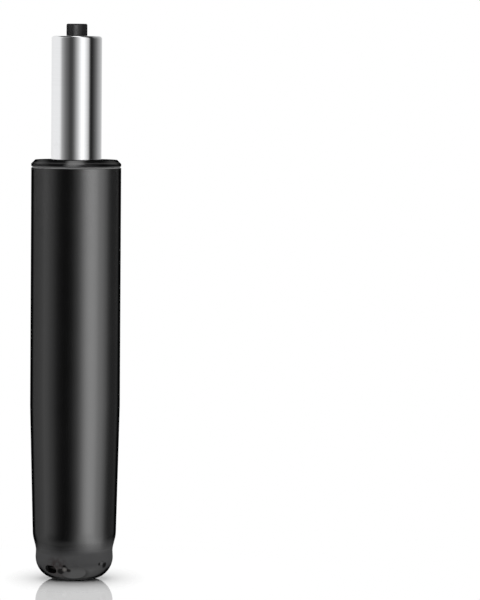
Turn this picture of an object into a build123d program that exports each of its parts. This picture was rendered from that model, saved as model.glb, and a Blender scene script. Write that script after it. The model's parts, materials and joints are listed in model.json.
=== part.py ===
"""Lockable gas lift cylinder for a swivel chair, fully lowered.

Millimetres, +Z up, origin at the centre of the flat foot, front towards -Y.
Every round piece is turned about the Z axis, which is also the axis of swivel and of lift.
Radii are worked out from the outside in, and levels from the foot up and from the button down.
"""

import os
from math import cos, pi, radians, sin

from build123d import *

# Driving sizes of the lift as a whole
tube_diameter = 50.0
tube_wall = 2.0
tube_height = 229.8
spindle_diameter = 28.0
spindle_wall = 1.5
spindle_rise = 68.7
lift_stroke = 100.0
rod_diameter = 10.0
button_diameter = 11.6
button_rise = 6.7
button_travel = 3.5

# Clearances that pieces share, and how far a cut runs past what it cuts
running_gap = 0.05
press_gap = 0.04
ring_gap = 0.03
face_gap = 0.1
free_gap = 0.3
overrun = 5.0
match_gap = 0.01

# Outer tube: flat foot, rounded heel, neck, shoulder and taper
foot_diameter = 18.4
foot_hole_diameter = 14.4
taper_per_length_share = 0.05
taper_length = 69.0
bulge_step = 1.725
neck_step = 0.18
neck_rise = 3.85
shoulder_step = 0.625
shoulder_rise = 6.0
taper_rise = 5.8
tube_rim_chamfer = 0.8

# Marks in the heel, each placed by its turn round the tube from the front and its fall below level
flat_turn, flat_fall = 1.3, 37.0
flat_depth = 0.92
flat_span = 30.0
slot_turn, slot_fall = -38.5, 28.0
slot_width = 5.2
slot_length = 7.6
large_dimple_turn, large_dimple_fall = -13.0, 25.0
large_dimple_radius = 2.8
large_dimple_depth = 1.1
small_dimple_turn, small_dimple_fall = 49.0, 12.0
small_dimple_radius = 2.6
small_dimple_depth = 0.7

# Bottom plate
plate_thickness = 6.5
plate_edge_chamfer = 0.6

# Guide bush and its flange
flange_height = 3.8
flange_chamfer = 2.2
flange_foot_fillet = 0.5
bush_depth = 85.0
bush_land = 16.0
bush_outer_relief = 1.2
bush_bore_relief = 0.6
bush_waist_wall = 3.0
bush_rib_count = 4
bush_rib_width = 2.0
bush_mouth_chamfer = 0.8
bush_end_chamfer = 1.5

# Thrust bearing
ball_diameter = 4.5
ball_count = 10
ball_spacing = 1.15
race_thickness = 1.8
race_land = 1.7
race_edge_fillet = 0.4
race_bore_gap = 0.6
groove_depth = 0.3
cage_thickness = 2.2
cage_web = 0.8
cage_edge_chamfer = 0.3
pocket_gap = 0.12

# Piston rod, and the clip and washer that hold it down
rod_shoulder_width = 1.0
rod_foot_rise = 1.0
rod_tail = 2.2
rod_end_chamfer = 0.6
clip_thickness = 1.0
clip_reach = 2.3
clip_groove_depth = 0.9
clip_mouth = 5.2
clip_notch_radius = 1.3
clip_notch_turn = 115.0
clip_washer_thickness = 0.8
clip_washer_reach = 2.6
plate_recess_gap = 0.4

# Bumper
bumper_height = 11.5
bumper_overlap = 1.6
bumper_waist_depth = 1.6
bumper_waist_height = 4.0
bumper_edge_fillet = 1.0

# Piston
piston_height = 12.0
piston_end_gap = 0.5
piston_shoulder_width = 1.5
piston_edge_chamfer = 0.5
ring_groove_rise = 2.2
ring_groove_height = 2.3
ring_section = 1.9
wear_groove_rise = 6.6
wear_groove_height = 3.2
wear_ring_thickness = 1.2
wear_ring_slit = 0.6
piston_washer_thickness = 1.4
piston_washer_reach = 3.5
rivet_reach = 1.4
rivet_height = 2.0
rivet_round_share = 0.7

# Spindle tube and gas cylinder
top_lip_thickness = 1.8
top_lip_gap = 0.6
spindle_top_fillet = 1.5
foot_lip_width = 2.5
spindle_foot_fillet = 1.2
bypass_gap = 1.25
gas_cylinder_wall = 1.0

# Support washer, lip seal and guide at the foot of the spindle
seal_washer_thickness = 2.0
rod_seal_height = 6.0
seal_lip_depth = 2.6
seal_lip_width = 1.6
seal_lip_wall = 1.5
rod_guide_height = 4.5
rod_guide_spigot = 4.0
gas_slot_width = 3.0
gas_slot_count = 4
gas_slot_inlet = 1.85
gas_slot_depth = 1.6

# Valve body
head_height = 14.5
button_skirt = 4.5
button_skirt_gap = 0.5
button_pocket_gap = 0.5
head_groove_drop = 5.2
head_groove_height = 2.4
neck_length = 10.0
neck_inset = 0.7
collar_height = 2.0
spigot_height = 12.0
spigot_groove_rise = 4.0
body_edge_chamfer = 0.5
port_rise = 2.0
port_radius = 0.8

# Valve pin, its seals and the bush that closes the valve bore
pin_radius = 2.0
pin_gland_width = 1.8
pin_gland_height = 2.0
spacer_end = 0.75
spacer_bore_gap = 0.5
spacer_groove_height = 2.0
spacer_groove_depth = 0.6
spacer_port_radius = 0.6
retainer_rise = 4.0
retainer_bore_gap = 0.4
pin_waist_depth = 0.6
pin_waist_margin = 0.5
pin_head_reach = 1.0
pin_head_height = 2.6
pin_head_chamfer = 1.0
pin_button_length = 7.0
button_edge_fillet = 0.9

# Radii of the stand, from the tube's outside in
tube_radius = tube_diameter / 2
tube_bore_radius = tube_radius - tube_wall
taper_bottom_radius = tube_radius - taper_per_length_share * taper_length / 2
shoulder_radius = taper_bottom_radius - shoulder_step
bulge_radius = taper_bottom_radius - bulge_step
neck_radius = bulge_radius - neck_step
foot_radius = foot_diameter / 2
foot_hole_radius = foot_hole_diameter / 2
heel_radius = bulge_radius - foot_radius
bush_radius = tube_bore_radius - press_gap

# Radii of the spindle, from its outside in
spindle_radius = spindle_diameter / 2
bush_bore_radius = spindle_radius + running_gap
spindle_bore_radius = spindle_radius - spindle_wall
spindle_fit_radius = spindle_bore_radius - press_gap
foot_lip_radius = spindle_bore_radius - foot_lip_width
gas_cylinder_radius = spindle_bore_radius - bypass_gap
gas_bore_radius = gas_cylinder_radius - gas_cylinder_wall
spigot_fit_radius = gas_bore_radius - press_gap
piston_radius = gas_bore_radius - running_gap
valve_neck_radius = spigot_fit_radius - neck_inset

# Radii of the rod, the bearing round its neck and the clip
rod_radius = rod_diameter / 2
rod_neck_radius = rod_radius - rod_shoulder_width
rod_spigot_radius = rod_radius - piston_shoulder_width
clip_seat_radius = rod_neck_radius - clip_groove_depth
clip_outer_radius = rod_neck_radius + clip_reach
clip_washer_radius = rod_neck_radius + clip_washer_reach
plate_recess_radius = clip_washer_radius + plate_recess_gap
ball_radius = ball_diameter / 2
ball_pitch_radius = ball_count * (ball_diameter + ball_spacing) / (2 * pi)
race_outer_radius = ball_pitch_radius + ball_radius + race_land
bumper_radius = foot_lip_radius + bumper_overlap
bumper_waist_radius = bumper_radius - bumper_waist_depth

# Radii of the button and the valve
button_radius = button_diameter / 2
button_pocket_radius = button_radius + button_pocket_gap
top_lip_radius = button_radius + top_lip_gap
valve_bore_radius = pin_radius + pin_gland_width
valve_fit_radius = valve_bore_radius - press_gap

# Levels of the tube, from the flat foot up
neck_z = heel_radius + neck_rise
shoulder_z = neck_z + shoulder_rise
taper_bottom_z = shoulder_z + taper_rise
taper_top_z = taper_bottom_z + taper_length
flange_top_z = tube_height + flange_height
bush_bottom_z = tube_height - bush_depth

# Levels of the rod's clip, the bottom plate and the bearing, from the rod's foot up
clip_bottom_z = rod_foot_rise + rod_tail
clip_top_z = clip_bottom_z + clip_thickness
clip_washer_z = clip_top_z + face_gap
clip_washer_top_z = clip_washer_z + clip_washer_thickness
recess_top_z = clip_washer_top_z + face_gap
plate_top_z = tube_wall + press_gap + plate_thickness
lower_race_top_z = plate_top_z + race_thickness
ball_z = lower_race_top_z + ball_radius + running_gap - groove_depth
upper_race_z = ball_z + ball_radius + running_gap - groove_depth
rod_shoulder_z = upper_race_z + race_thickness
bumper_top_z = rod_shoulder_z + bumper_height

# Levels of the foot of the spindle and of the piston, from the bumper up
spindle_bottom_z = bumper_top_z + free_gap
seal_washer_z = spindle_bottom_z + spindle_wall
rod_seal_z = seal_washer_z + seal_washer_thickness
rod_guide_z = rod_seal_z + rod_seal_height
gas_cylinder_z = rod_guide_z + rod_guide_height
rod_guide_top_z = gas_cylinder_z + rod_guide_spigot
piston_z = rod_guide_top_z + lift_stroke + piston_end_gap
piston_top_z = piston_z + piston_height
rivet_z = piston_top_z + piston_washer_thickness
rivet_top_z = rivet_z + rivet_height

# Levels of the top of the spindle and of the valve, from the spindle's top down
spindle_top_z = flange_top_z + spindle_rise
head_top_z = spindle_top_z - top_lip_thickness
button_bottom_z = head_top_z - button_skirt
button_pocket_z = button_bottom_z - button_travel - button_skirt_gap
head_bottom_z = head_top_z - head_height
collar_top_z = head_bottom_z - neck_length
gas_cylinder_top_z = collar_top_z - collar_height
spigot_z = gas_cylinder_top_z - spigot_height
button_top_z = spindle_top_z + button_rise
pin_top_z = button_bottom_z + pin_button_length

# Levels of the valve's seals, from the port up and down
port_z = collar_top_z + port_rise
spacer_z = port_z - button_travel / 2 - spacer_end
spacer_top_z = port_z + button_travel / 2 + spacer_end
lower_gland_z = spacer_z - pin_gland_height
valve_bore_top_z = spacer_top_z + pin_gland_height
retainer_z = spigot_z + retainer_rise
pin_head_top_z = retainer_z - face_gap
pin_head_z = pin_head_top_z - pin_head_height


def turn(*corners, mode=Mode.ADD):
    """Turn a closed half section, given as (radius, height) corners, about the Z axis."""
    with BuildSketch(Plane.XZ) as half_section:
        with BuildLine():
            Polyline(*corners, close=True)
        make_face()
    revolve(half_section.sketch, axis=Axis.Z, mode=mode)


def ring(inner, outer, bottom, top, mode=Mode.ADD):
    """Turn a plain ring or disc between two radii and two heights."""
    turn((inner, bottom), (outer, bottom), (outer, top), (inner, top), mode=mode)


def bore(radius, bottom, top):
    """Cut a round hole about the Z axis between two heights."""
    ring(0, radius, bottom, top, mode=Mode.SUBTRACT)


def groove(floor_radius, bottom, top):
    """Cut a groove round the outside of a piece, down to a radius."""
    ring(floor_radius, floor_radius + overrun, bottom, top, mode=Mode.SUBTRACT)


def o_ring(inner, outer, bottom, top):
    """Round rubber ring between two radii, in the middle of a groove between two heights."""
    with Locations((0, 0, (bottom + top) / 2)):
        Torus((inner + outer) / 2, (outer - inner) / 2)


def rim(piece, radius, height):
    """The circular edges of a piece at one radius and one height."""
    circles = piece.edges().filter_by(GeomType.CIRCLE)
    level = circles.filter_by_position(Axis.Z, height - match_gap, height + match_gap)
    return level.filter_by(lambda edge: abs(edge.radius - radius) < match_gap)


def tube_form(inset, top, mode=Mode.ADD):
    """Solid of the tube's form, moved in from its outer surface by an inset."""
    with BuildSketch(Plane.XZ) as half_section:
        with BuildLine():
            foot = Line((0, inset), (foot_radius, inset))
            heel = CenterArc((foot_radius, heel_radius), heel_radius - inset, -90, 90)
            neck = Spline(
                heel @ 1,
                (neck_radius - inset, neck_z),
                (shoulder_radius - inset, shoulder_z),
                (taper_bottom_radius - inset, taper_bottom_z),
                tangents=((0, 1), (taper_per_length_share / 2, 1)),
            )
            taper = Line(neck @ 1, (tube_radius - inset, taper_top_z))
            wall = Line(taper @ 1, (tube_radius - inset, top))
            Polyline(wall @ 1, (0, top), foot @ 0)
        make_face()
    revolve(half_section.sketch, axis=Axis.Z, mode=mode)


def heel_plane(turn_angle, fall_angle, offset):
    """Plane on the heel, square to its surface, raised along the surface's normal by an offset."""
    side, front = sin(radians(turn_angle)), -cos(radians(turn_angle))
    level, drop = cos(radians(fall_angle)), -sin(radians(fall_angle))
    reach = foot_radius + heel_radius * level
    origin = (side * reach, front * reach, heel_radius + heel_radius * drop)
    normal = (side * level, front * level, drop)
    along = (-front, side, 0)
    return Plane(origin=origin, x_dir=along, z_dir=normal).offset(offset)


def heel_dimple(turn_angle, fall_angle, radius, depth):
    """Press a round dimple into the heel."""
    with Locations(heel_plane(turn_angle, fall_angle, radius - depth)):
        Sphere(radius, mode=Mode.SUBTRACT)


# Outer tube, with a flat, a slot and two dimples in its heel
with BuildPart() as outer_tube:
    tube_form(0, tube_height)
    tube_form(tube_wall, tube_height + overrun, mode=Mode.SUBTRACT)
    bore(foot_hole_radius, -overrun, tube_wall + overrun)
    chamfer(rim(outer_tube, tube_radius, tube_height), tube_rim_chamfer)
    with BuildSketch(heel_plane(flat_turn, flat_fall, -flat_depth)):
        Circle(flat_span / 2)
    extrude(amount=overrun, mode=Mode.SUBTRACT)
    with BuildSketch(heel_plane(slot_turn, slot_fall, -tube_wall - overrun)):
        SlotOverall(slot_length, slot_width)
    extrude(amount=tube_wall + 2 * overrun, mode=Mode.SUBTRACT)
    heel_dimple(large_dimple_turn, large_dimple_fall, large_dimple_radius, large_dimple_depth)
    heel_dimple(small_dimple_turn, small_dimple_fall, small_dimple_radius, small_dimple_depth)

# Bottom plate, which lies in the rolled heel and has a recess below for the rod's clip
with BuildPart() as bottom_plate:
    tube_form(tube_wall + press_gap, tube_height)
    split(bisect_by=Plane.XY.offset(plate_top_z), keep=Keep.BOTTOM)
    chamfer(bottom_plate.edges().group_by(Axis.Z)[-1], plate_edge_chamfer)
    bore(plate_recess_radius, -overrun, recess_top_z)
    bore(rod_neck_radius + running_gap, -overrun, plate_top_z + overrun)

# Guide bush, which bears on the tube and on the spindle at its two lands, with a ribbed waist between
with BuildPart() as guide_bush:
    waist = (bush_bottom_z + bush_land, tube_height - bush_land)
    rib_span = bush_rib_count * bush_rib_width
    recess_height = (waist[1] - waist[0] - rib_span) / (bush_rib_count + 1)
    ring(bush_bore_radius, bush_radius, bush_bottom_z, tube_height)
    ring(bush_bore_radius, tube_radius, tube_height, flange_top_z)
    groove(bush_radius - bush_outer_relief, *waist)
    for rib in range(bush_rib_count + 1):
        recess_z = waist[0] + rib * (recess_height + bush_rib_width)
        recess = (recess_z, recess_z + recess_height)
        ring(bush_bore_radius + bush_waist_wall, tube_radius, *recess, mode=Mode.SUBTRACT)
    bore(bush_bore_radius + bush_bore_relief, *waist)
    chamfer(rim(guide_bush, tube_radius, flange_top_z), flange_chamfer)
    chamfer(rim(guide_bush, bush_bore_radius, flange_top_z), bush_mouth_chamfer)
    chamfer(rim(guide_bush, bush_radius, bush_bottom_z), bush_end_chamfer)
    fillet(rim(guide_bush, tube_radius, tube_height), flange_foot_fillet)


def ball_groove():
    """Cut the groove in which the balls run, which lies round them with the running gap."""
    with Locations((0, 0, ball_z)):
        Torus(ball_pitch_radius, ball_radius + running_gap, mode=Mode.SUBTRACT)


# Thrust bearing: two races, a cage and its balls
with BuildPart() as bearing_lower_race:
    ring(rod_neck_radius + race_bore_gap, race_outer_radius, plate_top_z, lower_race_top_z)
    ball_groove()
    fillet(rim(bearing_lower_race, race_outer_radius, lower_race_top_z), race_edge_fillet)

with BuildPart() as bearing_upper_race:
    ring(rod_neck_radius + press_gap, race_outer_radius, upper_race_z, rod_shoulder_z)
    ball_groove()
    fillet(rim(bearing_upper_race, race_outer_radius, rod_shoulder_z), race_edge_fillet)

with BuildPart() as bearing_cage:
    pocket_radius = ball_radius + pocket_gap
    cage_inner_radius = ball_pitch_radius - pocket_radius - cage_web
    cage_outer_radius = ball_pitch_radius + pocket_radius + cage_web
    cage_levels = (ball_z - cage_thickness / 2, ball_z + cage_thickness / 2)
    ring(cage_inner_radius, cage_outer_radius, *cage_levels)
    for cage_level in cage_levels:
        chamfer(rim(bearing_cage, cage_outer_radius, cage_level), cage_edge_chamfer)
    with Locations((0, 0, ball_z)):
        with PolarLocations(ball_pitch_radius, ball_count):
            Cylinder(pocket_radius, cage_thickness + overrun, mode=Mode.SUBTRACT)

with BuildPart() as bearing_balls:
    with Locations((0, 0, ball_z)):
        with PolarLocations(ball_pitch_radius, ball_count):
            Sphere(ball_radius)

# Piston rod: neck through the bearing and the plate, shaft, spigot for the piston and riveted end
with BuildPart() as piston_rod:
    ring(0, rod_neck_radius, rod_foot_rise, rod_shoulder_z)
    ring(0, rod_radius, rod_shoulder_z, piston_z)
    ring(0, rod_spigot_radius, piston_z, rivet_z)
    ring(0, rod_spigot_radius + rivet_reach, rivet_z, rivet_top_z)
    groove(clip_seat_radius, clip_bottom_z - ring_gap, clip_top_z + ring_gap)
    chamfer(rim(piston_rod, rod_neck_radius, rod_foot_rise), rod_end_chamfer)
    rivet_edge = rim(piston_rod, rod_spigot_radius + rivet_reach, rivet_top_z)
    fillet(rivet_edge, rivet_height * rivet_round_share)

# Washer and open clip under the bottom plate
with BuildPart() as clip_washer:
    ring(rod_neck_radius + press_gap, clip_washer_radius, clip_washer_z, clip_washer_top_z)

with BuildPart() as rod_clip:
    ring(clip_seat_radius + ring_gap, clip_outer_radius, clip_bottom_z, clip_top_z)
    with BuildSketch(Plane.XY.offset(clip_bottom_z)):
        with Locations((clip_outer_radius / 2, 0)):
            Rectangle(clip_outer_radius, clip_mouth)
        for notch_turn in (clip_notch_turn, -clip_notch_turn):
            with PolarLocations(clip_seat_radius + clip_notch_radius / 2, 1, notch_turn):
                Circle(clip_notch_radius)
    extrude(amount=clip_thickness, mode=Mode.SUBTRACT)

# Rubber bumper round the rod, on which the spindle comes down
with BuildPart() as bumper:
    bumper_middle_z = (rod_shoulder_z + bumper_top_z) / 2
    waist = (bumper_middle_z - bumper_waist_height / 2, bumper_middle_z + bumper_waist_height / 2)
    ring(rod_radius + press_gap, bumper_radius, rod_shoulder_z, bumper_top_z)
    fillet(rim(bumper, bumper_radius, rod_shoulder_z), bumper_edge_fillet)
    fillet(rim(bumper, bumper_radius, bumper_top_z), bumper_edge_fillet)
    groove(bumper_waist_radius, *waist)

# Piston, with the grooves for its ring seal and its wear ring
ring_groove = (piston_z + ring_groove_rise, piston_z + ring_groove_rise + ring_groove_height)
wear_groove = (piston_z + wear_groove_rise, piston_z + wear_groove_rise + wear_groove_height)
piston_seat_radius = piston_radius - ring_section
wear_seat_radius = piston_radius - wear_ring_thickness
with BuildPart() as piston:
    ring(rod_spigot_radius + press_gap, piston_radius, piston_z, piston_top_z)
    groove(piston_seat_radius, *ring_groove)
    groove(wear_seat_radius, *wear_groove)
    chamfer(rim(piston, piston_radius, piston_z), piston_edge_chamfer)
    chamfer(rim(piston, piston_radius, piston_top_z), piston_edge_chamfer)

with BuildPart() as piston_o_ring:
    o_ring(piston_seat_radius + ring_gap, gas_bore_radius - ring_gap, *ring_groove)

with BuildPart() as piston_wear_ring:
    wear_ring_levels = (wear_groove[0] + ring_gap, wear_groove[1] - ring_gap)
    ring(wear_seat_radius + ring_gap, gas_bore_radius - ring_gap, *wear_ring_levels)
    with BuildSketch(Plane.XY.offset(wear_groove[0])):
        with Locations((piston_radius, 0)):
            Rectangle(2 * wear_ring_thickness + overrun, wear_ring_slit)
    extrude(amount=wear_groove_height, mode=Mode.SUBTRACT)

with BuildPart() as piston_washer:
    piston_washer_radius = rod_spigot_radius + piston_washer_reach
    ring(rod_spigot_radius + press_gap, piston_washer_radius, piston_top_z, rivet_z)

# Spindle tube, rolled in at its foot and at its top, and the gas cylinder inside it
with BuildPart() as spindle_tube:
    ring(0, spindle_radius, spindle_bottom_z, spindle_top_z)
    bore(spindle_bore_radius, seal_washer_z, head_top_z)
    bore(foot_lip_radius, spindle_bottom_z - overrun, seal_washer_z)
    bore(top_lip_radius, head_top_z, spindle_top_z + overrun)
    fillet(rim(spindle_tube, spindle_radius, spindle_top_z), spindle_top_fillet)
    fillet(rim(spindle_tube, spindle_radius, spindle_bottom_z), spindle_foot_fillet)

with BuildPart() as gas_cylinder:
    ring(gas_bore_radius, gas_cylinder_radius, gas_cylinder_z, gas_cylinder_top_z)

# Support washer, lip seal and slotted guide at the foot of the spindle
with BuildPart() as seal_washer:
    ring(rod_radius + free_gap, spindle_fit_radius, seal_washer_z, rod_seal_z)

with BuildPart() as rod_seal:
    seal_lip_radius = rod_radius + ring_gap + seal_lip_wall
    seal_groove = (rod_guide_z - seal_lip_depth, rod_guide_z + overrun)
    ring(rod_radius + ring_gap, spindle_fit_radius, rod_seal_z, rod_guide_z)
    ring(seal_lip_radius, seal_lip_radius + seal_lip_width, *seal_groove, mode=Mode.SUBTRACT)

with BuildPart() as rod_guide:
    ring(rod_radius + running_gap, spindle_fit_radius, rod_guide_z, gas_cylinder_z)
    ring(rod_radius + running_gap, spigot_fit_radius, gas_cylinder_z, rod_guide_top_z)
    chamfer(rim(rod_guide, spigot_fit_radius, rod_guide_top_z), body_edge_chamfer)
    slot_inner_radius = spigot_fit_radius - gas_slot_inlet
    slot_reach = spindle_radius - slot_inner_radius
    with BuildSketch(Plane.XY.offset(gas_cylinder_z - gas_slot_depth)):
        with PolarLocations(slot_inner_radius + slot_reach / 2, gas_slot_count):
            Rectangle(slot_reach, gas_slot_width)
    extrude(amount=gas_slot_depth + rod_guide_spigot + overrun, mode=Mode.SUBTRACT)


def cross_hole(side, radius):
    """Drill a round hole through a piece at the height of the valve's port, square to a plane."""
    with BuildSketch(side) as hole:
        with Locations((0, port_z)):
            Circle(radius)
    extrude(hole.sketch, amount=spindle_radius, both=True, mode=Mode.SUBTRACT)


# Valve body: head in the spindle tube, ported neck, collar and spigot in the gas cylinder
head_groove_top_z = head_top_z - head_groove_drop
head_groove = (head_groove_top_z - head_groove_height, head_groove_top_z)
spigot_groove_z = spigot_z + spigot_groove_rise
spigot_groove = (spigot_groove_z, spigot_groove_z + ring_groove_height)
head_seat_radius = spindle_fit_radius - ring_section
spigot_seat_radius = spigot_fit_radius - ring_section
with BuildPart() as valve_body:
    ring(0, spindle_fit_radius, head_bottom_z, head_top_z)
    ring(0, valve_neck_radius, collar_top_z, head_bottom_z)
    ring(0, gas_cylinder_radius, gas_cylinder_top_z, collar_top_z)
    ring(0, spigot_fit_radius, spigot_z, gas_cylinder_top_z)
    chamfer(rim(valve_body, spindle_fit_radius, head_top_z), body_edge_chamfer)
    chamfer(rim(valve_body, spigot_fit_radius, spigot_z), body_edge_chamfer)
    groove(head_seat_radius, *head_groove)
    groove(spigot_seat_radius, *spigot_groove)
    bore(button_pocket_radius, button_pocket_z, head_top_z + overrun)
    bore(valve_bore_radius, spigot_z - overrun, valve_bore_top_z)
    bore(pin_radius + running_gap, valve_bore_top_z, button_pocket_z)
    cross_hole(Plane.YZ, port_radius)

with BuildPart() as head_o_ring:
    o_ring(head_seat_radius + ring_gap, spindle_bore_radius - ring_gap, *head_groove)

with BuildPart() as spigot_o_ring:
    o_ring(spigot_seat_radius + ring_gap, gas_bore_radius - ring_gap, *spigot_groove)

# Seals of the valve pin, the ported spacer between them and the bush below them
with BuildPart() as pin_o_rings:
    o_ring(pin_radius + ring_gap, valve_fit_radius, lower_gland_z, spacer_z)
    o_ring(pin_radius + ring_gap, valve_fit_radius, spacer_top_z, valve_bore_top_z)

with BuildPart() as pin_spacer:
    spacer_groove = (port_z - spacer_groove_height / 2, port_z + spacer_groove_height / 2)
    ring(pin_radius + spacer_bore_gap, valve_fit_radius, spacer_z, spacer_top_z)
    groove(valve_fit_radius - spacer_groove_depth, *spacer_groove)
    cross_hole(Plane.YZ, spacer_port_radius)
    cross_hole(Plane.XZ, spacer_port_radius)

with BuildPart() as valve_retainer:
    ring(pin_radius + retainer_bore_gap, valve_fit_radius, retainer_z, lower_gland_z)

# Valve pin, whose waist crosses the lower seal when the button is pressed, and the button on its end
with BuildPart() as valve_pin:
    pin_head_radius = pin_radius + pin_head_reach
    ring(0, pin_head_radius, pin_head_z, pin_head_top_z)
    ring(0, pin_radius, pin_head_top_z, pin_top_z)
    groove(pin_radius - pin_waist_depth, spacer_z + pin_waist_margin, spacer_top_z - pin_waist_margin)
    chamfer(rim(valve_pin, pin_head_radius, pin_head_z), pin_head_chamfer)

with BuildPart() as release_button:
    ring(0, button_radius, button_bottom_z, button_top_z)
    bore(pin_radius + press_gap, button_bottom_z - overrun, pin_top_z + face_gap)
    fillet(rim(release_button, button_radius, button_top_z), button_edge_fillet)

pieces = {
    "outer_tube": outer_tube,
    "bottom_plate": bottom_plate,
    "guide_bush": guide_bush,
    "bearing_lower_race": bearing_lower_race,
    "bearing_upper_race": bearing_upper_race,
    "bearing_cage": bearing_cage,
    "bearing_balls": bearing_balls,
    "piston_rod": piston_rod,
    "clip_washer": clip_washer,
    "rod_clip": rod_clip,
    "bumper": bumper,
    "piston": piston,
    "piston_o_ring": piston_o_ring,
    "piston_wear_ring": piston_wear_ring,
    "piston_washer": piston_washer,
    "spindle_tube": spindle_tube,
    "gas_cylinder": gas_cylinder,
    "seal_washer": seal_washer,
    "rod_seal": rod_seal,
    "rod_guide": rod_guide,
    "valve_body": valve_body,
    "head_o_ring": head_o_ring,
    "spigot_o_ring": spigot_o_ring,
    "pin_o_rings": pin_o_rings,
    "pin_spacer": pin_spacer,
    "valve_retainer": valve_retainer,
    "valve_pin": valve_pin,
    "release_button": release_button,
}

os.makedirs("parts", exist_ok=True)
for name, piece in pieces.items():
    piece.part.label = name
    export_step(piece.part, f"parts/{name}.step")
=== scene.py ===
"""Looks of a chair gas lift cylinder, in metres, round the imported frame.

The studio is a banded surround as a photographer builds it from softboxes, white walls and dark
cards, with curved strip lights close to the object and a small pale floor under it.
"""

import json
import math

import bpy
from mathutils import Euler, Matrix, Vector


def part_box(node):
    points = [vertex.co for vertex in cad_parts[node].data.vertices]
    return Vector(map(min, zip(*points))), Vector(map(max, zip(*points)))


MM = 0.001
HALF_TURN = 180
WHITE = (1, 1, 1)

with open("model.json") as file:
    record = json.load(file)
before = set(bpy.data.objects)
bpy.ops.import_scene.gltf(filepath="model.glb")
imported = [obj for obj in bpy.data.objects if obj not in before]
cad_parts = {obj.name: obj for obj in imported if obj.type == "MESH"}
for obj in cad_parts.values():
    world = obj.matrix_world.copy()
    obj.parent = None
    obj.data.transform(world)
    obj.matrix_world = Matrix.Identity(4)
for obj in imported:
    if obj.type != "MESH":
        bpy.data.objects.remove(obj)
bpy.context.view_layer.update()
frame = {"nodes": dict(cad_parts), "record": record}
nodes = frame["nodes"]
tube_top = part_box("outer_tube")[1].z

# Camera, set from the photograph: level with the spindle's end, in front and to the right
CAMERA_SIDE = 91.5 * MM
CAMERA_BACK = 2.5
CAMERA_HEIGHT = 300 * MM
CAMERA_PITCH = math.radians(-3.291)
CAMERA_ROLL = math.radians(0.423)
SENSOR = 36.0
LENS = 270.06

# Surround: brightness by direction, in degrees from the front, positive to its right
SURROUND_PEAK = 1.5
SURROUND = (
    (-180, 0.86),
    (-150, 0.95),
    (-122, 1.03),
    (-85, 1.03),
    (-77, 0.88),
    (-68, 0.48),
    (-57, 0.30),
    (-47, 0.18),
    (-38, 0.125),
    (-28, 0.065),
    (-18, 0.07),
    (-9, 0.17),
    (0, 0.40),
    (9, 0.68),
    (18, 1.06),
    (28, 1.40),
    (38, 1.24),
    (48, 0.92),
    (58, 0.60),
    (65, 0.12),
    (71, 0.02),
    (80, 0.035),
    (90, 0.09),
    (104, 0.20),
    (120, 0.38),
    (142, 0.56),
    (180, 0.86),
)

# White wall behind, then the dark and a small softbox overhead. Each fades in between two values of how
# far a direction points up, back or towards the light
WALL_LEVEL = 1.06
WALL_UP = (0.07, 0.11)
WALL_BACK = (0.93, 0.97)
TOP_DARK_LEVEL = 0.04
TOP_DARK_UP = (0.60, 0.78)
TOP_DARK_BACK = (-0.35, 0.0)
TOP_LIGHT_LEVEL = 2.8
TOP_LIGHT_DIRECTION = (-0.02, 0, 0.9998)
TOP_LIGHT_NEAR = (0.972, 0.993)

# Curved strip lights as (radius, foot, top), each for the gloss of one piece alone, and their
# brightness by the turn from the front
STRIP_STEP = 3
TUBE_STRIP = (230 * MM, -90 * MM, 280 * MM)
RING_STRIP = (240 * MM, 200 * MM, 236 * MM)
BUTTON_STRIP = (250 * MM, 285 * MM, 430 * MM)
RING_LEVELS = (
    (-180, 0),
    (-31, 0),
    (-22, 5.5),
    (-13, 11.5),
    (-1, 11.0),
    (9, 5.5),
    (19, 0),
    (180, 0),
)
BUTTON_LEVELS = (
    (-180, 0),
    (-46, 0),
    (-34, 1.2),
    (-22, 4.5),
    (-8, 7.2),
    (5, 4.8),
    (17, 1.2),
    (30, 0),
    (180, 0),
)
TUBE_LEVELS = (
    (-180, 0.2),
    (-168, 2.1),
    (-158, 3.0),
    (-147, 2.2),
    (-135, 0.6),
    (-118, 0),
    (-90, 0),
    (-76, 0.12),
    (-68, 0.42),
    (-58, 0.42),
    (-50, 0.24),
    (-42, 0.06),
    (-34, 0),
    (-6, 0),
    (5, 0.22),
    (13, 0.75),
    (20, 1.7),
    (28, 3.0),
    (36, 4.1),
    (44, 4.4),
    (52, 4.1),
    (60, 3.2),
    (70, 2.7),
    (80, 1.6),
    (90, 0.65),
    (101, 0.15),
    (118, 0),
    (134, 0.3),
    (146, 1.2),
    (157, 1.9),
    (168, 1.2),
    (180, 0.2),
)

# Wall far round the floor, for the floor alone, that makes up what the surround lacks to white
FLOOR_WALL = (3.0, 0, 4.0)
FLOOR_WALL_END = 166
FLOOR_WALL_LEVELS = (
    (-HALF_TURN, 0),
    (-FLOOR_WALL_END, 0),
    *((turn, max(0, 1 - level)) for turn, level in SURROUND if abs(turn) < FLOOR_WALL_END),
    (FLOOR_WALL_END, 0),
    (HALF_TURN, 0),
)

# Floor: white far from the object, and by it a pale sheet that takes the shadow. Its shadow, its mirror
# and the floor itself each end between two distances from the foot
FLOOR_SIDES = 96
FLOOR_RADIUS = 192 * MM
FLOOR_CLEAR = (150 * MM, 186 * MM)
FLOOR_SHADOW = (18 * MM, 40 * MM)
FLOOR_SHADOW_SHAPE = (1, 0.56, 1)
FLOOR_MIRROR = (106 * MM, 148 * MM)
FLOOR_WHITE = 0.965
# Grey to which ambient occlusion darkens the sheet's colour near the foot: painted contact shade
FLOOR_CONTACT_SHADE = 0.06
FLOOR_CONTACT_REACH = 42 * MM
FLOOR_CONTACT_SAMPLES = 16
FLOOR_IOR = 1.17
FLOOR_ROUGHNESS = 0.03

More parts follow.
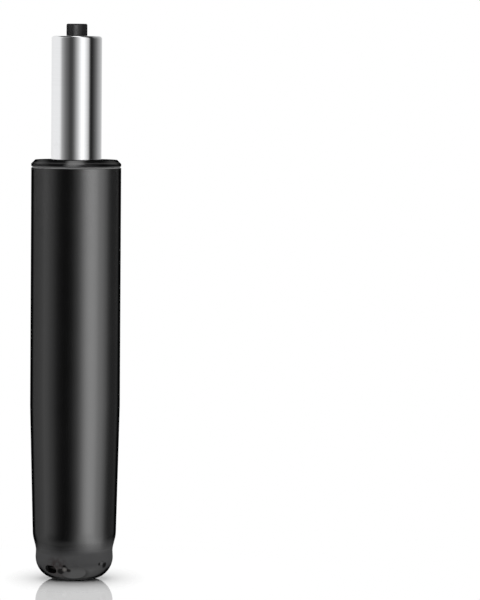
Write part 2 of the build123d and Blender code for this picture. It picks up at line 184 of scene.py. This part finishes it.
# Floor as the gloss of the object shows it: even near the foot, and further out the light of the strips
FLOOR_BOUNCE = 1.5
FLOOR_BOUNCE_TO_BANDS = (30 * MM, 64 * MM)
FLOOR_BANDS_PEAK = 4.6
FLOOR_BANDS = (
    (-180, 0.95),
    (-85, 1.10),
    (-59, 0.60),
    (-42, 0.18),
    (-28, 0.04),
    (-12, 0.12),
    (-3, 0.45),
    (5, 0.95),
    (20, 2.8),
    (36, 4.6),
    (50, 4.4),
    (68, 2.6),
    (88, 0.9),
    (105, 0.35),
    (135, 0.45),
    (180, 0.95),
)

# Round of the heel: distance of its centre line from the axis, and its radius
HEEL_PITCH = 9.2 * MM
HEEL_ROUND = 12.35 * MM

# Enamel of the tube, with its fine peel as (width, height)
PAINT_DARK = (0.0014, 0.0014, 0.0015)
PAINT_LIGHT = (0.0028, 0.0028, 0.0030)
PAINT_CLOUD = 14 * MM
PAINT_PEEL = (1.1 * MM, 0.006 * MM)
PAINT_IOR = 1.5
PAINT_GLOSS = (0.5, 0.28, 0.70)
PAINT_ROUGH = (0.15, 0.20)
HEEL_ROUGH = (0.3, 0.62)

# Bands of the tube by height, as (low, high, soft edge below, soft edge above)
# Painted highlight: a pale grey band along the chamfer of the tube's rim
RIM_HIGHLIGHT = (tube_top - 0.6 * MM, tube_top, 0.15 * MM, 0.15 * MM)
MATT_NECK = (9 * MM, 15.5 * MM, 3 * MM, 6.5 * MM)
MATT_HEEL = (-5 * MM, MATT_NECK[1], 3 * MM, 3 * MM)
# Painted light: a pale grey band along the bottom of the foot that lifts the contact shade there
PAINTED_FOOT_LIGHT = (-1 * MM, 0.5 * MM, 1.3 * MM, 1.3 * MM)
# Greys of the painted highlight on the rim and of the painted light along the foot
RIM_HIGHLIGHT_GREY = 0.25
PAINTED_FOOT_LIGHT_GREY = 0.26

# Painted reflection of the floor on the heel, as a paler colour: the heights between which it comes in, and
# the soft upper edge where it ends, which is lowest at one place across the front and rises to the sides
FLOOR_REFLECTION_COLOUR = (0.058, 0.058, 0.059)
FLOOR_REFLECTION_FROM = (6 * MM, 9 * MM)
FLOOR_REFLECTION_EDGE = (13.3 * MM, 19.5 * MM)
FLOOR_REFLECTION_EDGE_LOWEST_X = -7 * MM
FLOOR_REFLECTION_EDGE_RISE = 0.17

# Haze of rust on the heel, at a (turn, fall), with its radius and soft edge, and its least and most share
HAZE_PLACE = (-26, 24)
HAZE_SIZE = (2.5 * MM, 6 * MM)
RUST_COLOUR = (0.022, 0.014, 0.014)
RUST_SPECKLE = 2.2 * MM
RUST_SHARES = (0.1, 0.8)

# Painted highlights and painted shade at the press marks of the heel as (turn, fall, radius, soft edge,
# colour)
# Colours of the painted glints and of the painted shade round them
PAINTED_GLINT = (0.20, 0.19, 0.18)
PAINTED_FAINT_GLINT = (0.10, 0.10, 0.10)
PAINTED_PIT_SHADE = (0.0015, 0.0012, 0.0012)
HEEL_PAINTED_SPOTS = (
    (-20.5, 32, 1.5 * MM, 1.2 * MM, PAINTED_PIT_SHADE),
    (-7, 30.5, 1.1 * MM, 0.8 * MM, PAINTED_PIT_SHADE),
    (-13, 17, 0.6 * MM, 0.8 * MM, PAINTED_PIT_SHADE),
    (-13.5, 27, 0.8 * MM, 0.8 * MM, PAINTED_GLINT),
    (55, 17, 1.2 * MM, 1.0 * MM, PAINTED_PIT_SHADE),
    (43, 12, 0.4 * MM, 0.8 * MM, PAINTED_PIT_SHADE),
    (49, 12, 0.6 * MM, 0.8 * MM, PAINTED_FAINT_GLINT),
)

# Flat facet pressed in the heel, and the band below its plane that shows as its edge
FACET_TURN = 1.3
FACET_FALL = 37
FACET_DEPTH = 0.92 * MM
FACET_EDGE_OUTER = (1.0 * MM, 0.25 * MM)
FACET_EDGE_INNER = (0.06 * MM, 0.02 * MM)

# Share of the gloss that each mark takes away
HAZE_DULL = 0.5
NECK_DULL = 0.9
FACET_DULL = 0.4
PIT_SHADE_DULL = 0.9
FLANGE_FOOT_DULL = 0.75

# Flange: its dull foot, and painted highlight lines as (low, high, soft edge, grey), by height over the
# tube's rim
FLANGE_FOOT = (0, 1.5 * MM, 0.1 * MM)
FLANGE_HIGHLIGHT_LINES = (
    (2.2 * MM, 2.5 * MM, 0.35 * MM, 0.030),
    (0, 0.3 * MM, 0.2 * MM, 0.12),
)

# Gloss of the black plastics, as of the enamel, as (level, start, end): it fades from start to end, in
# how far the surface turns from the eye
FLANGE_GLOSS = (0.55, 0.32, 0.75)
BUTTON_GLOSS = (0.22, 0.12, 0.55)
RIM_FALL = 2.1

# Chrome plating, with the fine lines of the grinding as (width, height)
CHROME_DARK = (0.745, 0.75, 0.76)
CHROME_LIGHT = (0.805, 0.81, 0.82)
CHROME_LINES = (0.35 * MM, 0.001 * MM)
CHROME_ROUGH = (0.05, 0.075)

# Painted shade on the bottom plate behind the slot in the heel, at a (turn, fall, depth), with its radius
# and soft edge
SLOT_SHADE_PLACE = (-38.5, 28, 3 * MM)
SLOT_SHADE_SIZE = (6 * MM, 3 * MM)
SLOT_SHADE_COLOUR = (0.006, 0.005, 0.005)

# Metals as (light, dark, roughness, width of the tool's lines)
METALS = {
    "plate_steel": ((0.24, 0.23, 0.22), (0.12, 0.11, 0.10), 0.45, 0.5 * MM),
    "plain_steel": ((0.56, 0.56, 0.55), (0.40, 0.39, 0.38), 0.36, 0.4 * MM),
    "spring_steel": ((0.13, 0.13, 0.14), (0.06, 0.06, 0.07), 0.35, 0.4 * MM),
    "bearing_steel": ((0.66, 0.66, 0.67), (0.56, 0.56, 0.57), 0.18, 0.3 * MM),
    "rod_steel": ((0.70, 0.71, 0.73), (0.60, 0.61, 0.62), 0.18, 0.3 * MM),
    "pin_steel": ((0.62, 0.62, 0.63), (0.52, 0.52, 0.53), 0.22, 0.3 * MM),
    "piston_alloy": ((0.74, 0.74, 0.75), (0.62, 0.62, 0.63), 0.34, 0.4 * MM),
    "valve_alloy": ((0.70, 0.70, 0.71), (0.58, 0.58, 0.60), 0.34, 0.4 * MM),
    "spacer_brass": ((0.76, 0.59, 0.30), (0.60, 0.44, 0.20), 0.28, 0.3 * MM),
}
METAL_ROUGH_SPREAD = 0.06
METAL_STAIN = 5 * MM
METAL_LINE_HEIGHT = 0.003 * MM

# Plastics as (light, dark, roughness, width of the grain)
PLASTICS = {
    "bush_plastic": ((0.0030, 0.0030, 0.0033), (0.0016, 0.0016, 0.0018), 0.16, 0.5 * MM),
    "button_plastic": ((0.023, 0.023, 0.024), (0.015, 0.015, 0.016), 0.28, 0.4 * MM),
    "cage_plastic": ((0.68, 0.61, 0.45), (0.60, 0.53, 0.38), 0.5, 0.4 * MM),
    "slide_plastic": ((0.78, 0.77, 0.73), (0.70, 0.69, 0.64), 0.45, 0.4 * MM),
}
PLASTIC_ROUGH_SPREAD = 0.04
PLASTIC_CLOUD = 6 * MM
PLASTIC_GRAIN_HEIGHT = 0.015 * MM

# Rubbers as (light, dark, roughness)
RUBBERS = {
    "bumper_rubber": ((0.06, 0.06, 0.06), (0.03, 0.03, 0.03), 0.75),
    "seal_rubber": ((0.035, 0.035, 0.035), (0.02, 0.02, 0.02), 0.5),
}
RUBBER_IOR = 1.5
RUBBER_ROUGH_SPREAD = 0.05
RUBBER_BLOOM = 4 * MM
RUBBER_GRAIN = (0.5 * MM, 0.02 * MM)

# Scales of a noise by axis: the same all ways, or drawn out round the axis
EVEN = (1, 1, 1)
ROUND_LINES = (0.02, 0.02, 1)

# Stretches of a noise's values that are spread over a whole range
CLOUD_VALUES = (0.3, 0.7)
SPECKLE_VALUES = (0.40, 0.60)
STAIN_VALUES = (0.12, 0.4)


# Node helpers


def feed(tree, value, socket):
    """Link a socket to another one, or set it to a plain number or a colour."""
    if isinstance(value, bpy.types.NodeSocket):
        tree.links.new(value, socket)
    elif isinstance(value, tuple):
        socket.default_value = (*value, 1)
    else:
        socket.default_value = value


def new_material(name):
    """Empty node material with its output, as (material, tree, output)."""
    material = bpy.data.materials.new(name)
    material.use_nodes = True
    tree = material.node_tree
    tree.nodes.clear()
    return material, tree, tree.nodes.new("ShaderNodeOutputMaterial")


def principled(name, **constants):
    """Node material with one Principled shader whose plain sockets are set, as (material, tree, shader)."""
    material, tree, output = new_material(name)
    shader = tree.nodes.new("ShaderNodeBsdfPrincipled")
    for socket, value in constants.items():
        shader.inputs[socket].default_value = value
    tree.links.new(shader.outputs["BSDF"], output.inputs["Surface"])
    return material, tree, shader


def place_on_object(tree):
    """Place of a point in the object's own metres."""
    return tree.nodes.new("ShaderNodeTexCoord").outputs["Object"]


def stretched_place(tree, scale):
    """Place of a point in the object's own metres, scaled by axis."""
    mapping = tree.nodes.new("ShaderNodeMapping")
    mapping.inputs["Scale"].default_value = scale
    tree.links.new(place_on_object(tree), mapping.inputs["Vector"])
    return mapping.outputs["Vector"]


def noise(tree, scale, size, detail=2.0, roughness=0.5):
    """Noise whose cells are a size in metres, stretched by axis, as a socket from 0 to 1."""
    texture = tree.nodes.new("ShaderNodeTexNoise")
    texture.inputs["Scale"].default_value = 1 / size
    texture.inputs["Detail"].default_value = detail
    texture.inputs["Roughness"].default_value = roughness
    tree.links.new(stretched_place(tree, scale), texture.inputs["Vector"])
    return texture.outputs["Fac"]


def remap(tree, value, low, high, to_low=0, to_high=1):
    """Map a value from one range to another, clamped."""
    node = tree.nodes.new("ShaderNodeMapRange")
    for socket, number in zip(("From Min", "From Max", "To Min", "To Max"), (low, high, to_low, to_high)):
        node.inputs[socket].default_value = number
    tree.links.new(value, node.inputs["Value"])
    return node.outputs["Result"]


def math_node(tree, operation, first, second=0):
    """One math operation on sockets or numbers."""
    node = tree.nodes.new("ShaderNodeMath")
    node.operation = operation
    feed(tree, first, node.inputs[0])
    feed(tree, second, node.inputs[1])
    return node.outputs["Value"]


def product(tree, first, second):
    """Product of sockets or numbers."""
    return math_node(tree, "MULTIPLY", first, second)


def measure(tree, operation, vector, other=(0, 0, 0)):
    """Length of a vector, or its distance or dot product with another, as a number."""
    node = tree.nodes.new("ShaderNodeVectorMath")
    node.operation = operation
    node.inputs[1].default_value = other
    tree.links.new(vector, node.inputs[0])
    return node.outputs["Value"]


def axes(tree, vector):
    """X, Y and Z of a vector, as sockets by name."""
    parts = tree.nodes.new("ShaderNodeSeparateXYZ")
    tree.links.new(vector, parts.inputs["Vector"])
    return parts.outputs


def blend_colours(tree, factor, first, second):
    """Mix two colours, given as tuples or sockets, by a socket."""
    node = tree.nodes.new("ShaderNodeMix")
    node.data_type = "RGBA"
    tree.links.new(factor, node.inputs["Factor"])
    feed(tree, first, node.inputs[6])
    feed(tree, second, node.inputs[7])
    return node.outputs[2]


def blend_numbers(tree, factor, first, second):
    """Mix two number sockets by a socket."""
    node = tree.nodes.new("ShaderNodeMix")
    for socket, value in (("Factor", factor), ("A", first), ("B", second)):
        tree.links.new(value, node.inputs[socket])
    return node.outputs["Result"]


def blend_shaders(tree, factor, first, second):
    """Mix two shaders by a socket."""
    node = tree.nodes.new("ShaderNodeMixShader")
    for socket, value in zip(node.inputs, (factor, first, second)):
        tree.links.new(value, socket)
    return node.outputs["Shader"]


def glow(tree, colour, strength=1.0):
    """Light of a colour, given as a tuple or a socket."""
    node = tree.nodes.new("ShaderNodeEmission")
    node.inputs["Strength"].default_value = strength
    feed(tree, colour, node.inputs["Color"])
    return node.outputs["Emission"]


def grey(level):
    """Colour of an even brightness."""
    return (level, level, level)


def azimuth(tree, direction):
    """Angle of a direction round the Z axis, from the front towards the right."""
    parts = axes(tree, direction)
    return math_node(tree, "ARCTAN2", parts["X"], product(tree, parts["Y"], -1))


def level_by_turn(tree, direction, levels, peak):
    """Brightness by the turn of a direction from the front, as a share of the peak."""
    share = remap(tree, azimuth(tree, direction), -math.pi, math.pi)
    ramp = tree.nodes.new("ShaderNodeValToRGB")
    ramp.color_ramp.interpolation = "LINEAR"
    elements = ramp.color_ramp.elements
    # New elements start in the middle, so that they keep their order while they are placed
    while len(elements) < len(levels):
        elements.new(0.5)
    for element, (turn, level) in zip(elements, levels):
        element.position = (turn + HALF_TURN) / (2 * HALF_TURN)
        element.color = (*grey(level / peak), 1)
    tree.links.new(share, ramp.inputs["Fac"])
    return ramp.outputs["Color"]


def add_bump(tree, shader, height, distance):
    """Bump the shader's surface by a height socket."""
    bump = tree.nodes.new("ShaderNodeBump")
    bump.inputs["Distance"].default_value = distance
    bump.inputs["Strength"].default_value = 1
    tree.links.new(height, bump.inputs["Height"])
    tree.links.new(bump.outputs["Normal"], shader.inputs["Normal"])


def set_colour(tree, shader, colour):
    """Give the shader a colour socket."""
    tree.links.new(colour, shader.inputs["Base Color"])


def set_roughness(tree, shader, cloud, low, high):
    """Let the roughness follow a cloud between two values."""
    tree.links.new(remap(tree, cloud, *CLOUD_VALUES, low, high), shader.inputs["Roughness"])


def dark_rim(tree, shader, level, start, end, dull=None):
    """Take the gloss away where the surface turns from the eye, as dark cards do, and where it is dull."""
    turned = tree.nodes.new("ShaderNodeLayerWeight")
    turned.inputs["Blend"].default_value = 0.5
    left = remap(tree, turned.outputs["Facing"], start, end, 1, 0)
    gloss = product(tree, math_node(tree, "POWER", left, RIM_FALL), level)
    if dull is not None:
        gloss = product(tree, gloss, remap(tree, dull, 0, 1, 1, 0))
    tree.links.new(gloss, shader.inputs["Specular IOR Level"])


def strongest(tree, marks):
    """Highest of several marks, given as (socket, share)."""
    highest = 0
    for mark, share in marks:
        highest = math_node(tree, "MAXIMUM", highest, product(tree, mark, share))
    return highest


def spot(tree, centre, radius, soft):
    """1 near a point of the object, falling to 0 over a soft edge."""
    distance = measure(tree, "DISTANCE", place_on_object(tree), centre)
    return remap(tree, distance, radius, radius + soft, 1, 0)


def height_band(tree, low, high, soft_below, soft_above):
    """1 between two heights above the floor, falling to 0 over soft edges."""
    height = axes(tree, place_on_object(tree))["Z"]
    rise = remap(tree, height, low - soft_below, low)
    fall = remap(tree, height, high, high + soft_above, 1, 0)
    return product(tree, rise, fall)


# Marks on the heel


def heel_direction(turn, fall):
    """Unit vector out of the heel's round at a turn from the front and a fall below level, in degrees."""
    around = math.radians(turn)
    down = math.radians(fall)
    return (math.cos(down) * math.sin(around), -math.cos(down) * math.cos(around), -math.sin(down))


def heel_point(turn, fall, depth=0.0):
    """Point of the rounded heel, or a depth below it, at a turn and a fall in degrees."""
    around = math.radians(turn)
    centre = (HEEL_PITCH * math.sin(around), -HEEL_PITCH * math.cos(around), HEEL_ROUND)
    reach = HEEL_ROUND - depth
    return tuple(middle + reach * out for middle, out in zip(centre, heel_direction(turn, fall)))


def facet_edge(tree):
    """1 along the edge of the flat facet pressed in the heel, from how far a point lies below its plane."""
    normal = heel_direction(FACET_TURN, FACET_FALL)
    point = heel_point(FACET_TURN, FACET_FALL, FACET_DEPTH)
    level = sum(a * b for a, b in zip(point, normal))
    along = measure(tree, "DOT_PRODUCT", place_on_object(tree), normal)
    inner = remap(tree, along, *(level - below for below in FACET_EDGE_INNER), 1, 0)
    outer = remap(tree, along, *(level - below for below in FACET_EDGE_OUTER))
    return product(tree, inner, outer)


def painted_floor_reflection(tree):
    """1 where the floor's reflection is painted on the heel, falling to 0 above an edge that sags at the
    front.
    """
    parts = axes(tree, place_on_object(tree))
    across = math_node(tree, "SUBTRACT", parts["X"], FLOOR_REFLECTION_EDGE_LOWEST_X)
    rise = product(tree, math_node(tree, "ABSOLUTE", across), FLOOR_REFLECTION_EDGE_RISE)
    height = math_node(tree, "SUBTRACT", parts["Z"], rise)
    upper = remap(tree, height, *FLOOR_REFLECTION_EDGE, 1, 0)
    lower = remap(tree, parts["Z"], *FLOOR_REFLECTION_FROM)
    return product(tree, lower, upper)


# Materials, each as (material, tree, shader)


def tube_paint():
    """Black enamel with a fine orange peel, with a painted highlight on the rim, painted light along the
    foot, a painted reflection of the floor on the heel, and painted highlights and shade at the heel's press
    marks.
    """
    material, tree, shader = principled("tube_paint", IOR=PAINT_IOR)
    cloud = noise(tree, EVEN, PAINT_CLOUD, detail=4)
    neck = height_band(tree, *MATT_NECK)
    haze = spot(tree, heel_point(*HAZE_PLACE), *HAZE_SIZE)
    speckle = noise(tree, EVEN, RUST_SPECKLE, detail=5, roughness=0.65)
    rust = product(tree, haze, remap(tree, speckle, *SPECKLE_VALUES, *RUST_SHARES))
    colour = blend_colours(tree, cloud, PAINT_DARK, PAINT_LIGHT)
    # Painted highlight along the tube's rim
    colour = blend_colours(tree, height_band(tree, *RIM_HIGHLIGHT), colour, grey(RIM_HIGHLIGHT_GREY))
    # Painted reflection of the floor on the heel
    colour = blend_colours(tree, painted_floor_reflection(tree), colour, FLOOR_REFLECTION_COLOUR)
    # Painted light along the foot, against its contact shade
    colour = blend_colours(tree, height_band(tree, *PAINTED_FOOT_LIGHT), colour, grey(PAINTED_FOOT_LIGHT_GREY))
    colour = blend_colours(tree, rust, colour, RUST_COLOUR)
    dull_marks = [(haze, HAZE_DULL), (neck, NECK_DULL), (facet_edge(tree), FACET_DULL)]
    # Painted highlights and painted shade at the heel's press marks; the shaded spots also lose their gloss
    for turn, fall, radius, soft, shade in HEEL_PAINTED_SPOTS:
        painted_spot = spot(tree, heel_point(turn, fall), radius, soft)
        colour = blend_colours(tree, painted_spot, colour, shade)
        if shade == PAINTED_PIT_SHADE:
            dull_marks.append((painted_spot, PIT_SHADE_DULL))
    set_colour(tree, shader, colour)
    polish = remap(tree, cloud, *CLOUD_VALUES, *PAINT_ROUGH)
    heel_rough = remap(tree, neck, 0, 1, *HEEL_ROUGH)
    rough = blend_numbers(tree, height_band(tree, *MATT_HEEL), polish, heel_rough)
    tree.links.new(rough, shader.inputs["Roughness"])
    peel_width, peel_height = PAINT_PEEL
    add_bump(tree, shader, noise(tree, EVEN, peel_width, detail=1), peel_height)
    dark_rim(tree, shader, *PAINT_GLOSS, dull=strongest(tree, dull_marks))
    return material, tree, shader


def chrome_plate():
    """Ground and chromed steel: fine lines round the spindle under a bright plating."""
    material, tree, shader = principled("chrome_plate", Metallic=1.0)
    line_width, line_height = CHROME_LINES
    lines = noise(tree, ROUND_LINES, line_width, detail=3)
    set_colour(tree, shader, blend_colours(tree, lines, CHROME_DARK, CHROME_LIGHT))
    set_roughness(tree, shader, lines, *CHROME_ROUGH)
    add_bump(tree, shader, lines, line_height)
    return material, tree, shader


def moulded_plastic(name):
    """Moulded plastic with a fine even grain."""
    light, dark, rough, grain_width = PLASTICS[name]
    material, tree, shader = principled(name)
    cloud = noise(tree, EVEN, PLASTIC_CLOUD, detail=3)
    set_colour(tree, shader, blend_colours(tree, cloud, dark, light))
    set_roughness(tree, shader, cloud, rough - PLASTIC_ROUGH_SPREAD, rough + PLASTIC_ROUGH_SPREAD)
    add_bump(tree, shader, noise(tree, EVEN, grain_width, detail=2), PLASTIC_GRAIN_HEIGHT)
    return material, tree, shader


def bush_plastic():
    """Polished black plastic whose flange has painted highlight lines along its edge and by the tube's rim.
    """
    material, tree, shader = moulded_plastic("bush_plastic")
    low, high, soft = FLANGE_FOOT
    foot = height_band(tree, tube_top + low, tube_top + high, soft, soft)
    dark_rim(tree, shader, *FLANGE_GLOSS, dull=product(tree, foot, FLANGE_FOOT_DULL))
    colour = shader.inputs["Base Color"].links[0].from_socket
    # Painted highlight lines round the flange
    for low, high, soft, level in FLANGE_HIGHLIGHT_LINES:
        line = height_band(tree, tube_top + low, tube_top + high, soft, soft)
        colour = blend_colours(tree, line, colour, grey(level))
    set_colour(tree, shader, colour)
    return material, tree, shader


def button_plastic():
    """Satin black plastic of the release button."""
    material, tree, shader = moulded_plastic("button_plastic")
    dark_rim(tree, shader, *BUTTON_GLOSS)
    return material, tree, shader


def turned_metal(name):
    """Metal with the fine rings that a lathe or a grinder leaves."""
    light, dark, rough, line_width = METALS[name]
    material, tree, shader = principled(name, Metallic=1.0)
    lines = noise(tree, ROUND_LINES, line_width, detail=4)
    stain = noise(tree, EVEN, METAL_STAIN, detail=4)
    mixed = remap(tree, product(tree, lines, stain), *STAIN_VALUES)
    set_colour(tree, shader, blend_colours(tree, mixed, dark, light))
    set_roughness(tree, shader, stain, rough - METAL_ROUGH_SPREAD, rough + METAL_ROUGH_SPREAD)
    add_bump(tree, shader, lines, METAL_LINE_HEIGHT)
    return material, tree, shader


def plate_steel():
    """Oiled steel, with painted shade behind the slot in the heel."""
    material, tree, shader = turned_metal("plate_steel")
    unshaded = shader.inputs["Base Color"].links[0].from_socket
    # Painted shade behind the slot in the heel
    slot_shade = spot(tree, heel_point(*SLOT_SHADE_PLACE), *SLOT_SHADE_SIZE)
    set_colour(tree, shader, blend_colours(tree, slot_shade, unshaded, SLOT_SHADE_COLOUR))
    return material, tree, shader


def rubber(name):
    """Moulded rubber with a dull bloom."""
    light, dark, rough = RUBBERS[name]
    material, tree, shader = principled(name, IOR=RUBBER_IOR)
    bloom = noise(tree, EVEN, RUBBER_BLOOM, detail=5, roughness=0.6)
    set_colour(tree, shader, blend_colours(tree, bloom, dark, light))
    set_roughness(tree, shader, bloom, rough - RUBBER_ROUGH_SPREAD, rough + RUBBER_ROUGH_SPREAD)
    grain_width, grain_height = RUBBER_GRAIN
    add_bump(tree, shader, noise(tree, EVEN, grain_width, detail=2), grain_height)
    return material, tree, shader


def material_of_slot(slot):
    """Finished material of a slot in the record."""
    own_makers = {
        "tube_paint": tube_paint,
        "chrome_plate": chrome_plate,
        "bush_plastic": bush_plastic,
        "button_plastic": button_plastic,
        "plate_steel": plate_steel,
    }
    if slot in own_makers:
        look = own_makers[slot]()
    elif slot in PLASTICS:
        look = moulded_plastic(slot)
    elif slot in METALS:
        look = turned_metal(slot)
    else:
        look = rubber(slot)
    return look[0]


def dress():
    """Give every node the material of its slot in the record."""
    slot_of = {part["node"]: part["material_slot"] for part in frame["record"]["subparts"]}
    materials = {slot: material_of_slot(slot) for slot in sorted(set(slot_of.values()))}
    for name, node in nodes.items():
        node.data.materials.clear()
        node.data.materials.append(materials[slot_of[name]])


# Studio


def build_surround():
    """White to the camera, an even plain level to matt surfaces, and studio lights and cards to gloss."""
    world = bpy.data.worlds.new("studio")
    bpy.context.scene.world = world
    world.cycles.sampling_method = "NONE"
    world.use_nodes = True
    tree = world.node_tree
    tree.nodes.clear()
    direction = tree.nodes.new("ShaderNodeTexCoord").outputs["Generated"]
    parts = axes(tree, direction)
    ring = level_by_turn(tree, direction, SURROUND, SURROUND_PEAK)
    level = product(tree, ring, SURROUND_PEAK)
    wall = product(tree, remap(tree, parts["Z"], *WALL_UP), remap(tree, parts["Y"], *WALL_BACK))
    level = blend_colours(tree, wall, level, grey(WALL_LEVEL))
    dark = product(tree, remap(tree, parts["Z"], *TOP_DARK_UP), remap(tree, parts["Y"], *TOP_DARK_BACK))
    level = blend_colours(tree, dark, level, grey(TOP_DARK_LEVEL))
    overhead = measure(tree, "DOT_PRODUCT", direction, TOP_LIGHT_DIRECTION)
    level = blend_colours(tree, remap(tree, overhead, *TOP_LIGHT_NEAR), level, grey(TOP_LIGHT_LEVEL))
    plain = tree.nodes.new("ShaderNodeBackground")
    feed(tree, WHITE, plain.inputs["Color"])
    studio = tree.nodes.new("ShaderNodeBackground")
    feed(tree, level, studio.inputs["Color"])
    for_gloss = tree.nodes.new("ShaderNodeLightPath").outputs["Is Glossy Ray"]
    light = blend_shaders(tree, for_gloss, plain.outputs["Background"], studio.outputs["Background"])
    output = tree.nodes.new("ShaderNodeOutputWorld")
    tree.links.new(light, output.inputs["Surface"])


def strip_light_material(name, levels):
    """Light of a strip by the turn from the front, added to what shows through it."""
    material, tree, output = new_material(name)
    peak = max(level for turn, level in levels)
    light = glow(tree, level_by_turn(tree, place_on_object(tree), levels, peak), peak)
    clear = tree.nodes.new("ShaderNodeBsdfTransparent")
    both = tree.nodes.new("ShaderNodeAddShader")
    tree.links.new(light, both.inputs[0])
    tree.links.new(clear.outputs["BSDF"], both.inputs[1])
    tree.links.new(both.outputs["Shader"], output.inputs["Surface"])
    material.cycles.emission_sampling = "NONE"
    return material


def build_strip_light(name, size, levels, lit_object):
    """Curved strip light round the object, seen only in the gloss of one piece."""
    radius, foot, top = size
    turns = [math.radians(a) for a in range(-HALF_TURN, HALF_TURN + 1, STRIP_STEP)]
    places = [(radius * math.sin(a), -radius * math.cos(a)) for a in turns]
    verts = [(x, y, height) for height in (foot, top) for x, y in places]
    count = len(places)
    faces = [(i, i + 1, count + i + 1, count + i) for i in range(count - 1)]
    mesh = bpy.data.meshes.new(name)
    mesh.from_pydata(verts, [], faces)
    mesh.materials.append(strip_light_material(name, levels))
    strip = bpy.data.objects.new(name, mesh)
    bpy.context.scene.collection.objects.link(strip)
    strip.visible_camera = False
    strip.visible_diffuse = False
    strip.visible_shadow = False
    strip.visible_transmission = False
    lit = bpy.data.collections.new(name + "_receivers")
    lit.objects.link(lit_object)
    strip.light_linking.receiver_collection = lit


def floor_sheet(tree):
    """Pale matt sheet that takes the shadow near the object, with contact shade painted into its colour by
    ambient occlusion, and plain white beyond.
    """
    contact = tree.nodes.new("ShaderNodeAmbientOcclusion")
    contact.inputs["Distance"].default_value = FLOOR_CONTACT_REACH
    contact.samples = FLOOR_CONTACT_SAMPLES
    pale = tree.nodes.new("ShaderNodeBsdfDiffuse")
    # Painted contact shade: ambient occlusion darkens the sheet's colour
    shade = blend_colours(tree, contact.outputs["AO"], grey(FLOOR_CONTACT_SHADE), grey(FLOOR_WHITE))
    tree.links.new(shade, pale.inputs["Color"])
    from_foot = measure(tree, "LENGTH", stretched_place(tree, FLOOR_SHADOW_SHAPE))
    out_of_shadow = remap(tree, from_foot, *FLOOR_SHADOW)
    return blend_shaders(tree, out_of_shadow, pale.outputs["BSDF"], glow(tree, grey(FLOOR_WHITE)))


def floor_to_camera(tree, distance):
    """Sheet with a faint mirror near the object, and white further out."""
    gloss = tree.nodes.new("ShaderNodeBsdfGlossy")
    feed(tree, WHITE, gloss.inputs["Color"])
    gloss.inputs["Roughness"].default_value = FLOOR_ROUGHNESS
    fresnel = tree.nodes.new("ShaderNodeFresnel")
    fresnel.inputs["IOR"].default_value = FLOOR_IOR
    near = blend_shaders(tree, fresnel.outputs["Fac"], floor_sheet(tree), gloss.outputs["BSDF"])
    return blend_shaders(tree, remap(tree, distance, *FLOOR_MIRROR), near, glow(tree, WHITE))


def floor_to_gloss(tree, place, distance):
    """Light that the object's gloss picks up from the floor."""
    bands = level_by_turn(tree, place, FLOOR_BANDS, FLOOR_BANDS_PEAK)
    outward = remap(tree, distance, *FLOOR_BOUNCE_TO_BANDS)
    level = blend_colours(tree, outward, grey(FLOOR_BOUNCE), product(tree, bands, FLOOR_BANDS_PEAK))
    return glow(tree, level)


def floor_material():
    """Pale, faintly glossy floor that fades out away from the object and isn't seen from below."""
    material, tree, output = new_material("floor")
    place = place_on_object(tree)
    distance = measure(tree, "LENGTH", place)
    for_gloss = tree.nodes.new("ShaderNodeLightPath").outputs["Is Glossy Ray"]
    seen = floor_to_camera(tree, distance)
    floor = blend_shaders(tree, for_gloss, seen, floor_to_gloss(tree, place, distance))
    side = tree.nodes.new("ShaderNodeNewGeometry")
    faded = remap(tree, distance, *FLOOR_CLEAR)
    clear_share = math_node(tree, "MAXIMUM", faded, side.outputs["Backfacing"])
    clear = tree.nodes.new("ShaderNodeBsdfTransparent")
    tree.links.new(blend_shaders(tree, clear_share, floor, clear.outputs["BSDF"]), output.inputs["Surface"])
    material.cycles.emission_sampling = "NONE"
    return material


def build_floor():
    """Round floor under the object."""
    turns = [2 * math.pi * i / FLOOR_SIDES for i in range(FLOOR_SIDES)]
    rim = [(FLOOR_RADIUS * math.cos(a), FLOOR_RADIUS * math.sin(a), 0) for a in turns]
    mesh = bpy.data.meshes.new("floor")
    mesh.from_pydata(rim, [], [tuple(range(FLOOR_SIDES))])
    mesh.materials.append(floor_material())
    floor = bpy.data.objects.new("floor", mesh)
    bpy.context.scene.collection.objects.link(floor)
    return floor


def build_camera():
    """Camera at the photograph's place, level with the spindle's end."""
    data = bpy.data.cameras.new("camera")
    data.sensor_width = SENSOR
    data.lens = LENS
    camera = bpy.data.objects.new("camera", data)
    bpy.context.scene.collection.objects.link(camera)
    camera.location = (CAMERA_SIDE, -CAMERA_BACK, CAMERA_HEIGHT)
    tilt = Euler((math.pi / 2 + CAMERA_PITCH, 0, 0)).to_matrix()
    roll = Euler((0, 0, CAMERA_ROLL)).to_matrix()
    camera.rotation_euler = (tilt @ roll).to_euler()
    bpy.context.scene.camera = camera


dress()
build_surround()
build_strip_light("tube_strip", TUBE_STRIP, TUBE_LEVELS, nodes["outer_tube"])
build_strip_light("ring_strip", RING_STRIP, RING_LEVELS, nodes["guide_bush"])
build_strip_light("button_strip", BUTTON_STRIP, BUTTON_LEVELS, nodes["release_button"])
build_strip_light("floor_wall", FLOOR_WALL, FLOOR_WALL_LEVELS, build_floor())
build_camera()

bpy.context.scene.view_settings.view_transform = "Standard"
